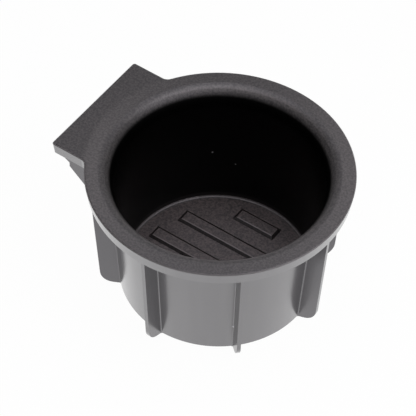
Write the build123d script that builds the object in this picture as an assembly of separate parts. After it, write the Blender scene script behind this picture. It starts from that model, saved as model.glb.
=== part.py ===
from build123d import *
import math
import os

# Drop-in cup holder insert, moulded in one piece. Millimetres and degrees.
# The origin is the centre of the flat underside, +Z is up, and the tab points to -X.

# Flange with a turned-down edge, which sets how wide the cup is
flange_diameter = 100.4
flange_depth = 5.3
flange_draft = 8.0
flange_edge_bevel = 0.5
flange_edge_ease = 0.14  # how far the upper border of that bevel is eased
rim_width = 5.25  # flat part of the rim, from the flange's outer edge in to the lip

# Cup
height = 57.5
wall = 1.6
wall_draft = 3.8
floor_thickness = 2.0
floor_corner_radius = 0.8
base_edge_radius = 1.0

# Rounded lip between the flat rim and the cup wall: a tight edge that opens into a wide throat
lip_edge_radius = 3.5
lip_throat_radius = 11.0
lip_edge_turn = 45.0

# Tab on the flange
tab_width = 51.6
tab_reach = 58.4
tab_corner_radius = 1.2
tab_root_radius = 3.0

# Gusset under each side of the tab: a shoulder back from its tip, a step, then a long slope to the wall
gusset_thickness = 1.6
gusset_inset = 1.3
gusset_tip_inset = 3.6
gusset_shoulder_run = 3.7
gusset_shoulder_drop = 2.0
gusset_step_drop = 2.0
gusset_slope = 41.0

# Upright fins that centre the insert in its pocket
fin_count = 8
fin_thickness = 1.5
fin_projection = 7.3
fin_foot_rise = 21.0
fin_corner_radius = 8.0
fin_root_radius = 0.45
fin_root_sink = 0.03  # how far the root's curve dips into the wall, so that it meets the wall at an angle

# Raised bars on the floor, bevelled all round: their ends follow a circle, the outermost lie at a share of it
bar_count = 5
bar_width = 6.5
bar_height = 0.85
bar_bevel = 1.25  # how far the sloping sides run in
bar_end_gap = 5.5  # from the bar circle to the cup wall
bar_spread = 0.866
bar_edge_radius = 0.8

flange_radius = flange_diameter / 2
rim_start = flange_radius - rim_width
rim_join = (rim_start + flange_radius - wall) / 2

# The lip turns from the flat rim down to the wall, which fixes where the inner face of the wall starts
lip_turn = math.radians(lip_edge_turn)
lip_end = math.radians(90 - wall_draft)
lip_run = lip_edge_radius * math.sin(lip_turn) + lip_throat_radius * (math.sin(lip_end) - math.sin(lip_turn))
lip_drop = (lip_edge_radius * (1 - math.cos(lip_turn))
            + lip_throat_radius * (math.cos(lip_turn) - math.cos(lip_end)))
draft_slope = math.tan(math.radians(wall_draft))
draft_stretch = 1 / math.cos(math.radians(wall_draft))


def wall_radius(z, offset):
    """Radius of the cup wall at a height, this far outwards from its inner face."""
    return rim_start - lip_run - (height - lip_drop - z) * draft_slope + offset * draft_stretch


base_radius = wall_radius(0, wall)
bar_circle_radius = wall_radius(floor_thickness, 0) - bar_end_gap
bar_pitch = 2 * bar_circle_radius * bar_spread / (bar_count - 1)


def lip_curve(offset):
    """The lip's two arcs, from the flat rim down to the wall, offset into the material."""
    edge = JernArc((rim_start, height - offset), (-1, 0), lip_edge_radius - offset, lip_edge_turn)
    throat = JernArc(edge @ 1, edge % 1, lip_throat_radius - offset, 90 - wall_draft - lip_edge_turn)
    return edge, throat


def make_shell():
    """Cup, lip and the inner part of the flat rim, turned about the axis."""
    inner_edge, inner_throat = lip_curve(0)
    outer_edge, outer_throat = lip_curve(wall)
    floor_edge = (wall_radius(floor_thickness, 0), floor_thickness)
    inside = Polyline(inner_throat @ 1, floor_edge, (0, floor_thickness))
    outside = Polyline((0, floor_thickness), (0, 0), (base_radius, 0), outer_throat @ 1)
    rim = Polyline(outer_edge @ 0, (rim_join, height - wall), (rim_join, height), inner_edge @ 0)
    section = make_face(inner_edge + inner_throat + inside + outside + outer_throat + outer_edge + rim)
    floor_corner = section.vertices().sort_by_distance(floor_edge)[0]
    section = fillet(floor_corner, floor_corner_radius)
    base_corner = section.vertices().sort_by_distance((base_radius, 0))[0]
    section = fillet(base_corner, base_edge_radius)
    return revolve(Plane.XZ * section, Axis.Z)


def make_core():
    """Everything inside the middle of the wall, used to trim what joins the wall from outside."""
    edge, throat = lip_curve(wall / 2)
    base_edge = (wall_radius(0, wall / 2), 0)
    sides = Polyline(throat @ 1, base_edge, (0, 0), (0, height), (rim_start, height), edge @ 0)
    return revolve(Plane.XZ * make_face(edge + throat + sides), Axis.Z)


def make_flange():
    """Flat rim and tab with their turned-down edge, which draws in on its way down."""
    tab = Pos(-tab_reach / 2, 0) * Rectangle(tab_reach, tab_width)
    outline = Circle(flange_radius) + tab
    outline = fillet(outline.vertices().group_by(Axis.X)[0], tab_corner_radius)
    root_x = -math.sqrt(flange_radius**2 - (tab_width / 2)**2)
    roots = [outline.vertices().sort_by_distance((root_x, side * tab_width / 2))[0] for side in (-1, 1)]
    outline = fillet(roots, tab_root_radius)
    block = extrude(Pos(0, 0, height) * outline, -flange_depth, taper=flange_draft)
    block = chamfer(block.edges().group_by(Axis.Z)[-1], flange_edge_bevel)
    block = chamfer(block.edges().group_by(Axis.Z)[-1], flange_edge_ease)
    underside = offset(outline, -wall * (1 + math.tan(math.radians(flange_draft))))
    hollow = extrude(Pos(0, 0, height - wall) * underside, wall - flange_depth, taper=flange_draft)
    hole = extrude(Pos(0, 0, height) * Circle(rim_join), -flange_depth)
    return block - hollow - hole


def make_fin():
    """One upright fin along +X: its outer edge follows the wall and its foot rises away from the base."""
    foot = base_radius - base_edge_radius
    rise = math.tan(math.radians(fin_foot_rise))
    corner_x = (base_radius + fin_projection - foot * rise * draft_slope) / (1 - rise * draft_slope)
    corner = (corner_x, (corner_x - foot) * rise)
    top = height - wall / 2
    top_x = wall_radius(top, wall) + fin_projection
    side = make_face(Polyline((0, 0), (foot, 0), corner, (top_x, top), (0, top), close=True))
    side = fillet(side.vertices().sort_by_distance(corner)[0], fin_corner_radius)
    fin = extrude(Plane.XZ * side, fin_thickness / 2, both=True)
    root_reach = fin_thickness / 2 + fin_root_radius
    root_span = extrude(Plane.XZ * side, root_reach, both=True)
    return fin + (make_fin_root(root_reach) & root_span)


def make_fin_root(reach):
    """Hollow-sided foot that blends a fin into the wall, running up along the wall."""
    rise = fin_root_radius - fin_root_sink
    foot = Pos(0, (rise - wall) / 2) * Rectangle(2 * reach, rise + wall)
    foot = foot - [Pos(side * reach, rise) * Circle(fin_root_radius) for side in (-1, 1)]
    up_wall = Plane(origin=(base_radius, 0, 0), x_dir=(0, -1, 0), z_dir=(draft_slope, 0, 1))
    return extrude(up_wall * foot, height, both=True)


def make_gusset(side):
    """Web under one side of the tab, stepped near the tip and sloping back to the wall."""
    top = height - wall / 2
    tip_x = gusset_tip_inset - tab_reach
    tip_z = height - flange_depth
    step_x = tip_x + gusset_shoulder_run
    shoulder_z = tip_z - gusset_shoulder_drop
    step_z = shoulder_z - gusset_step_drop
    axis_z = step_z + step_x * math.tan(math.radians(gusset_slope))
    outline = Polyline(
        (0, top),
        (tip_x, top),
        (tip_x, tip_z),
        (step_x, shoulder_z),
        (step_x, step_z),
        (0, axis_z),
        close=True,
    )
    middle_y = side * (tab_width / 2 - gusset_inset - gusset_thickness / 2)
    return Pos(0, middle_y, 0) * extrude(Plane.XZ * make_face(outline), gusset_thickness / 2, both=True)


def make_bar(place):
    """One raised bar along X, as long as the bar circle allows at its place across the floor."""
    far_side = abs(place) + (bar_width - bar_bevel) / 2
    length = 2 * math.sqrt(bar_circle_radius**2 - far_side**2)
    foot = Rectangle(length, bar_width)
    top = Rectangle(length - 2 * bar_bevel, bar_width - 2 * bar_bevel)
    bar = Pos(0, place, floor_thickness) * loft([foot, Pos(0, 0, bar_height) * top], ruled=True)
    return fillet(bar.edges().group_by(Axis.Z)[-1], bar_edge_radius)


shell = make_shell()
core = make_core()
fins = [Rot(0, 0, 360 * i / fin_count) * make_fin() for i in range(fin_count)]
gussets = [make_gusset(side) for side in (-1, 1)]
bars = [make_bar((i - (bar_count - 1) / 2) * bar_pitch) for i in range(bar_count)]

insert = shell + make_flange()
for web in fins + gussets:
    insert = insert + (web - core)
for bar in bars:
    insert = insert + bar

os.makedirs("parts", exist_ok=True)
export_step(insert, "parts/cup_holder_insert.step")
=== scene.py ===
import math

import bpy
from mathutils import Matrix, Vector

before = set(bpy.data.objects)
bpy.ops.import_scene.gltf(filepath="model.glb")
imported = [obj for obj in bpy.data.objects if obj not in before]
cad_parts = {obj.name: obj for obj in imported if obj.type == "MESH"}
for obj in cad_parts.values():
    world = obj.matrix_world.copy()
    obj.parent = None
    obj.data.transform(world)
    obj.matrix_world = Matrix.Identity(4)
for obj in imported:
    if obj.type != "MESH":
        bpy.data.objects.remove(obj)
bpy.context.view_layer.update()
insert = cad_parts["cup_holder_insert"]
print("frame loaded, pieces:", sorted(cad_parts))

millimetre = 0.001


class Wire:
    # wraps one socket of a node tree: sums, products and so on of wires add Math nodes
    def __init__(self, tree, socket=None):
        self.tree = tree
        self.socket = socket

    def node(self, kind, settings=None, sockets=None, out=0):
        made = self.tree.nodes.new(kind)
        for name, value in (settings or {}).items():
            setattr(made, name, value)
        for name, value in (sockets or {}).items():
            if isinstance(value, Wire):
                self.tree.links.new(value.socket, made.inputs[name])
            else:
                made.inputs[name].default_value = value
        return Wire(self.tree, made.outputs[out] if len(made.outputs) else None)

    def twin(self, out):  # another output of the same node
        return Wire(self.tree, self.socket.node.outputs[out])

    def math(self, operation, *values):
        return self.node("ShaderNodeMath", {"operation": operation}, dict(enumerate(values)))

    def __add__(self, other):
        return self.math("ADD", self, other)

    def __radd__(self, other):
        return self.math("ADD", other, self)

    def __sub__(self, other):
        return self.math("SUBTRACT", self, other)

    def __rsub__(self, other):
        return self.math("SUBTRACT", other, self)

    def __mul__(self, other):
        return self.math("MULTIPLY", self, other)

    def __rmul__(self, other):
        return self.math("MULTIPLY", other, self)

    def __truediv__(self, other):
        return self.math("DIVIDE", self, other)

    def __rtruediv__(self, other):
        return self.math("DIVIDE", other, self)

    def step(self, low, high):  # smooth step, 0 at low and 1 at high
        return self.node("ShaderNodeMapRange", {"interpolation_type": "SMOOTHSTEP"},
                         {"Value": self, "From Min": low, "From Max": high})

    def between(self, first, second):  # number between two, with this wire as the factor
        return first + (second - first) * self

    def blend(self, first, second):  # colour between two, with this wire as the factor
        return self.node("ShaderNodeMix", {"data_type": "RGBA"}, {0: self, 6: first, 7: second}, out=2)


def newMaterial(name):
    made = bpy.data.materials.new(name)
    made.use_nodes = True
    made.node_tree.nodes.clear()
    return made, Wire(made.node_tree)


blackPlastic = {
    # colours
    "grainDark": (0.0092, 0.0084, 0.0084, 1),      # rim and tab: pits of the grain
    "grainLight": (0.0512, 0.0460, 0.0450, 1),     # tops of the grain
    "paintedHighlightDark": (0.0655, 0.0595, 0.0595, 1),     # the same with a painted highlight: rim at its two sides, lip at front and back
    "paintedHighlightLight": (0.1170, 0.1062, 0.1070, 1),
    "floorDark": (0.0134, 0.0101, 0.0101, 1),      # floor and bars, a little warmer
    "floorLight": (0.0768, 0.0590, 0.0580, 1),
    "footHighlightColour": (0.0620, 0.0540, 0.0550, 1),     # painted highlight on the smooth curve between floor and wall
    "barEdgeHighlightColour": (0.1000, 0.0820, 0.0840, 1),  # painted highlight on the upper edges of the bars
    "bevelHighlightColour": (0.1300, 0.1200, 0.1230, 1),     # painted highlight on the narrow bevel round the rim and tab
    "outsideColour": (0.0130, 0.0095, 0.0140, 1),  # satin outside: wall, fins, turned-down edge
    "insideShadedColour": (0.0004, 0.0004, 0.0004, 1),   # smooth wall of the cup: its smooth black finish, made darker still with painted shade
    "dustColour": (0.6000, 0.6000, 0.6200, 1),

    # shine
    "grainRoughness": 0.52,
    "outsideRoughness": 0.30,
    "insideRoughness": 0.34,
    "specular": 1.0,
    "specularTint": (0.965, 0.915, 1.0, 1),
    "insideSpecular": 0.14,
    "coatIor": 2.09,
    "coatRoughness": 0.20,
    "finGloss": 0.55,          # the sides of the fins are duller than the wall
    "barSideShine": 0.78,      # share of the smooth finish on the sloping sides of the bars

    # grain, broad patches of roughness, and faint upright lines left on the wall by the mould
    "grainSize": 0.8,          # mm
    "grainDetail": 2.0,
    "grainHarshness": 0.6,
    "grainDepth": 0.090,       # mm
    "patchesPerMm": 0.09,
    "patchDetail": 3.0,
    "patchSpan": 0.06,         # roughness from the smoothest to the roughest patch
    "drawLineWidth": 2.4,      # mm
    "drawLineBends": 0.02,     # change along the height, per mm
    "drawLineDetail": 1.5,
    "drawLineDepth": 0.06,     # how much they dull the gloss

    # inner face of the cup wall
    "wallRadius": 35.9945,     # mm, at the height of the base
    "wallSlope": 0.066422,     # mm wider for each mm up

    # painted highlight, a lighter colour where light falls: the rim at its two sides, the lip at front and
    # back
    "paintedHighlightAlong": (0.830, 0.558),  # from one side to the other
    "rimPaintedHighlight": 0.53,            # share of the painted highlight on the rim

    # dust and a moulding nub, in mm: place, then radius and strength
    "dustSpecks": (
        (-23.55, 29.24, 25.82, 0.30, 0.5),
        (-15.65, 33.66, 20.10, 0.30, 0.4),
        (26.69, -28.11, 13.30, 0.45, 1.0),
    ),
    "speckFade": (0.5, 1.5),   # share of the radius

    # where one finish passes into the next, in mm outwards from the inner face of the wall
    "floorBorder": (-1.4, -0.9),
    "innerFace": (0.5, 1.0),
    "finStart": (1.61, 1.72),
    "lipBorder": (4.5, 5.5),
    "rimStart": (4.6, 5.8),
    "sideBorder": (5.5, 6.5),
    "bevelStart": (7.0, 8.0),
    "rimEnd": (9.5, 12.0),

    # the same in mm above the base
    "footTop": (4.0, 8.0),
    "finTop": (51.4, 52.0),

    # the same by how far the face looks up
    "floorUp": (-0.1, 0.1),
    "lipUp": (0.15, 0.35),
    "satinUp": (0.30, 0.60),
    "polishUp": (0.45, 0.62),
    "polishShift": 0.42,       # the polish ends this much sooner at the foot of the wall
    "lipHighlightFrom": (0.60, 0.68),
    "lipHighlightTo": (0.82, 0.96),
    "bevelUp": (0.72, 0.90),
    "barSideUp": (0.86, 0.95),
    "barHighlightFrom": (0.86, 0.93),
    "barHighlightTo": (0.975, 0.995),

    # the same by how far the face looks away from the axis
    "cupInward": (-0.30, -0.05),
    "finEdge": (0.5, 0.8),

    # the same by the level of the noise
    "speckleLevel": (0.32, 0.68),
    "drawLineLevel": (0.35, 0.75),
}


def makeBlackPlastic():
    p = blackPlastic
    material, w = newMaterial("black_plastic_moulded")
    place = w.node("ShaderNodeTexCoord", out="Object")
    placeMm = w.node("ShaderNodeVectorMath", {"operation": "SCALE"},
                     {"Vector": place, "Scale": 1 / millimetre})
    x = w.node("ShaderNodeSeparateXYZ", sockets={"Vector": placeMm}, out="X")
    y, z = x.twin("Y"), x.twin("Z")
    radius = w.math("SQRT", x * x + y * y)
    fromWall = radius - z * p["wallSlope"] - p["wallRadius"]  # mm outwards from the inner face of the wall
    facing = w.node("ShaderNodeNewGeometry", out="Normal")
    facingX = w.node("ShaderNodeSeparateXYZ", sockets={"Vector": facing}, out="X")
    facingY, upward = facingX.twin("Y"), facingX.twin("Z")
    outward = (facingX * x + facingY * y) / radius

    # where each finish lies, worked out from the place and the way the face looks
    cupFloor = (1 - fromWall.step(*p["floorBorder"])) * upward.step(*p["floorUp"])
    wallOrLip = w.math("MAXIMUM", 1 - fromWall.step(*p["innerFace"]), upward.step(*p["lipUp"]))
    cupSide = wallOrLip * (1 - fromWall.step(*p["sideBorder"])) * (1 - outward.step(*p["cupInward"]))
    cupSide = cupSide * (1 - cupFloor)
    atFoot = 1 - z.step(*p["footTop"])
    foot = cupSide * atFoot
    polished = cupSide * (1 - (upward + atFoot * p["polishShift"]).step(*p["polishUp"]))
    polished = polished + cupFloor * (1 - upward.step(*p["barSideUp"])) * p["barSideShine"]
    satin = (1 - cupFloor) * (1 - cupSide) * (1 - upward.step(*p["satinUp"]))
    grained = 1 - polished - satin
    bevel = (1 - upward.step(*p["bevelUp"])) * fromWall.step(*p["bevelStart"])
    # painted highlight along the upper edges of the bars
    barEdgeHighlight = upward.step(*p["barHighlightFrom"]) * (1 - upward.step(*p["barHighlightTo"]))
    finSide = fromWall.step(*p["finStart"]) * (1 - z.step(*p["finTop"])) * (1 - outward.step(*p["finEdge"]))

    # painted highlights: the rim at its two sides, the lip at front and back
    sideways = (x * p["paintedHighlightAlong"][0] + y * p["paintedHighlightAlong"][1]) / radius
    sides = sideways * sideways
    onRim = fromWall.step(*p["rimStart"]) * (1 - fromWall.step(*p["rimEnd"]))
    onLip = upward.step(*p["lipHighlightFrom"]) * (1 - upward.step(*p["lipHighlightTo"]))
    onLip = onLip * (1 - fromWall.step(*p["lipBorder"]))
    paintedHighlight = sides * onRim * p["rimPaintedHighlight"] + (1 - sides) * onLip

    # noises
    fine = w.node("ShaderNodeTexNoise", sockets={
        "Vector": placeMm,
        "Scale": 1 / p["grainSize"],
        "Detail": p["grainDetail"],
        "Roughness": p["grainHarshness"],
    }, out="Fac")
    broad = w.node("ShaderNodeTexNoise", sockets={
        "Vector": placeMm,
        "Scale": p["patchesPerMm"],
        "Detail": p["patchDetail"],
    }, out="Fac")
    around = w.math("ARCTAN2", y, x) * (p["wallRadius"] / p["drawLineWidth"])
    alongWall = w.node("ShaderNodeCombineXYZ", sockets={"X": around, "Y": z * p["drawLineBends"]})
    drawLines = w.node("ShaderNodeTexNoise", sockets={
        "Vector": alongWall,
        "Scale": 1.0,
        "Detail": p["drawLineDetail"],
    }, out="Fac")

    # colour
    speckle = fine.step(*p["speckleLevel"])
    rimGrain = speckle.blend(p["grainDark"], p["grainLight"])
    # painted highlight on the rim's sides and the lip's front and back
    rimGrain = paintedHighlight.blend(rimGrain, speckle.blend(p["paintedHighlightDark"], p["paintedHighlightLight"]))
    # painted highlights: the bevel round the rim and tab, and the curve at the foot of the cup wall
    rimGrain = foot.blend(bevel.blend(rimGrain, p["bevelHighlightColour"]), p["footHighlightColour"])
    floorGrain = barEdgeHighlight.blend(speckle.blend(p["floorDark"], p["floorLight"]), p["barEdgeHighlightColour"])
    grain = cupFloor.blend(rimGrain, floorGrain)
    dust = 0
    for *speck, size, strength in p["dustSpecks"]:
        away = w.node("ShaderNodeVectorMath", {"operation": "DISTANCE"}, {0: placeMm, 1: speck}, out="Value")
        dust = dust + (1 - away.step(*(share * size for share in p["speckFade"]))) * strength
    colour = dust.blend(satin.blend(grain, p["outsideColour"]), p["dustColour"])

    # shine and grain
    patches = broad.between(-p["patchSpan"] / 2, p["patchSpan"] / 2)
    roughness = satin.between(p["grainRoughness"], p["outsideRoughness"]) + patches
    dulled = drawLines.step(*p["drawLineLevel"]) * p["drawLineDepth"]
    gloss = satin * (1 - dulled) * finSide.between(1, p["finGloss"])
    bump = w.node("ShaderNodeBump", sockets={
        "Strength": 1.0,
        "Distance": p["grainDepth"] * millimetre,
        "Height": fine * grained * (1 - foot),
    })

    outer = w.node("ShaderNodeBsdfPrincipled", sockets={
        "Base Color": colour,
        "Roughness": roughness,
        "Specular IOR Level": p["specular"],
        "Specular Tint": p["specularTint"],
        "Coat Weight": gloss,
        "Coat IOR": p["coatIor"],
        "Coat Roughness": p["coatRoughness"],
        "Normal": bump,
    })
    # smooth finish inside the cup, its near-black colour partly painted shade
    inner = w.node("ShaderNodeBsdfPrincipled", sockets={
        "Base Color": dust.blend(p["insideShadedColour"], p["dustColour"]),
        "Roughness": p["insideRoughness"],
        "Specular IOR Level": p["insideSpecular"],
    })
    both = w.node("ShaderNodeMixShader", sockets={0: polished, 1: outer, 2: inner})
    w.node("ShaderNodeOutputMaterial", sockets={"Surface": both})
    return material


insert.data.materials.clear()
insert.data.materials.append(makeBlackPlastic())
print("black plastic on the insert")

studio = {
    "floorSize": 40.0,                       # m
    "floorDrop": 0.00002,                    # m, a hair under the base
    "floorColour": (0.95, 0.95, 0.95, 1),
    "floorGlow": 0.975,                      # share that the camera and reflections see as plain white
    "skyColour": (1, 1, 1, 1),
    "skyLevel": 0.02,
    "sweepLevel": 0.80,                      # white sweep low down behind the object
    "sweepTowards": (-0.558, 0.830, 0),
    "sweepBreadth": (0.1, 0.9),              # by how far the view turns that way
    "sweepHeight": (0.15, 0.65),             # by how far the view looks up
    "softboxes": (                           # place and size in m, power in W
        ((0, 0, 0.6), 0.5, 1.40),            # overhead
        ((-0.140, 0.207, 0.6), 0.4, 0.38),   # overhead, to the back
        ((0.391, -0.581, 0.6), 0.4, 0.30),   # front
        ((0.291, 0.015, 0.35), 0.3, 0.78),   # near, on the right
        ((-0.124, -0.264, 0.35), 0.3, 0.13),  # near, on the left
    ),
    "softboxAim": (0, 0, 0.04),
}


def seenRays(w):  # 1 for what the camera, reflections and clear materials see
    camera = w.node("ShaderNodeLightPath", out="Is Camera Ray")
    reflected = w.math("MAXIMUM", camera.twin("Is Glossy Ray"), camera.twin("Is Transmission Ray"))
    return w.math("MAXIMUM", camera, reflected)


def makeFloor():
    bpy.ops.mesh.primitive_plane_add(size=studio["floorSize"], location=(0, 0, -studio["floorDrop"]))
    floor = bpy.context.object
    floor.name = "studio_floor"
    material, w = newMaterial("studio_floor")
    paint = w.node("ShaderNodeBsdfDiffuse", sockets={"Color": studio["floorColour"]})
    white = w.node("ShaderNodeEmission", sockets={"Strength": 1.0})
    mixed = w.node("ShaderNodeMixShader", sockets={0: seenRays(w) * studio["floorGlow"], 1: paint, 2: white})
    w.node("ShaderNodeOutputMaterial", sockets={"Surface": mixed})
    floor.data.materials.append(material)


def makeSky():
    world = bpy.data.worlds.new("studio_sky")
    bpy.context.scene.world = world
    world.use_nodes = True
    world.node_tree.nodes.clear()
    w = Wire(world.node_tree)
    towards = w.node("ShaderNodeTexCoord", out="Generated")
    height = w.node("ShaderNodeSeparateXYZ", sockets={"Vector": towards}, out="Z")
    behind = w.node("ShaderNodeVectorMath", {"operation": "DOT_PRODUCT"},
                    {0: towards, 1: studio["sweepTowards"]}, out="Value")
    sweep = behind.step(*studio["sweepBreadth"]) * (1 - height.step(*studio["sweepHeight"]))
    sky = w.node("ShaderNodeBackground", sockets={
        "Color": studio["skyColour"],
        "Strength": sweep * studio["sweepLevel"] + studio["skyLevel"],
    })
    w.node("ShaderNodeOutputWorld", sockets={"Surface": sky})


def makeSoftboxes():
    for place, size, power in studio["softboxes"]:
        data = bpy.data.lights.new("softbox", "AREA")
        data.shape = "SQUARE"
        data.size = size
        data.energy = power
        box = bpy.data.objects.new("softbox", data)
        box.location = place
        box.rotation_euler = (Vector(place) - Vector(studio["softboxAim"])).to_track_quat("Z", "Y").to_euler()
        bpy.context.scene.collection.objects.link(box)


makeFloor()
makeSky()
makeSoftboxes()
print("studio floor, sky and softboxes")

photoCamera = {
    "aimPoint": (0, 0, 0.0575),  # m, middle of the rim
    "distance": 0.96059,         # m
    "elevation": 48.12,          # degrees
    "azimuth": 33.94,
    "roll": 1.37,
    "aside": -0.004291,          # how far the view looks past the aim point, for each metre of distance
    "above": -0.014609,
    "focalPixels": 2616.19,
    "imagePixels": 416,
    "sensorWidth": 36,           # mm
}


def makeCamera():
    c = photoCamera
    tilt, turn, roll = (math.radians(c[k]) for k in ("elevation", "azimuth", "roll"))
    back = Vector((math.sin(turn) * math.cos(tilt), -math.cos(turn) * math.cos(tilt), math.sin(tilt)))
    side = Vector((math.cos(turn), math.sin(turn), 0))
    ahead = -back + c["aside"] * side + c["above"] * side.cross(-back)
    ahead.normalize()
    side = ahead.cross(Vector((0, 0, 1))).normalized()
    over = side.cross(ahead)
    right = math.cos(roll) * side + math.sin(roll) * over
    up = math.cos(roll) * over - math.sin(roll) * side
    data = bpy.data.cameras.new("photo_camera")
    data.sensor_width = c["sensorWidth"]
    data.lens = c["focalPixels"] / c["imagePixels"] * data.sensor_width
    camera = bpy.data.objects.new("photo_camera", data)
    camera.matrix_world = Matrix((right, up, -ahead)).transposed().to_4x4()
    camera.location = Vector(c["aimPoint"]) + back * c["distance"]
    bpy.context.scene.collection.objects.link(camera)
    bpy.context.scene.camera = camera


makeCamera()
bpy.context.scene.view_settings.view_transform = "Standard"
print("camera at the photo's angle")
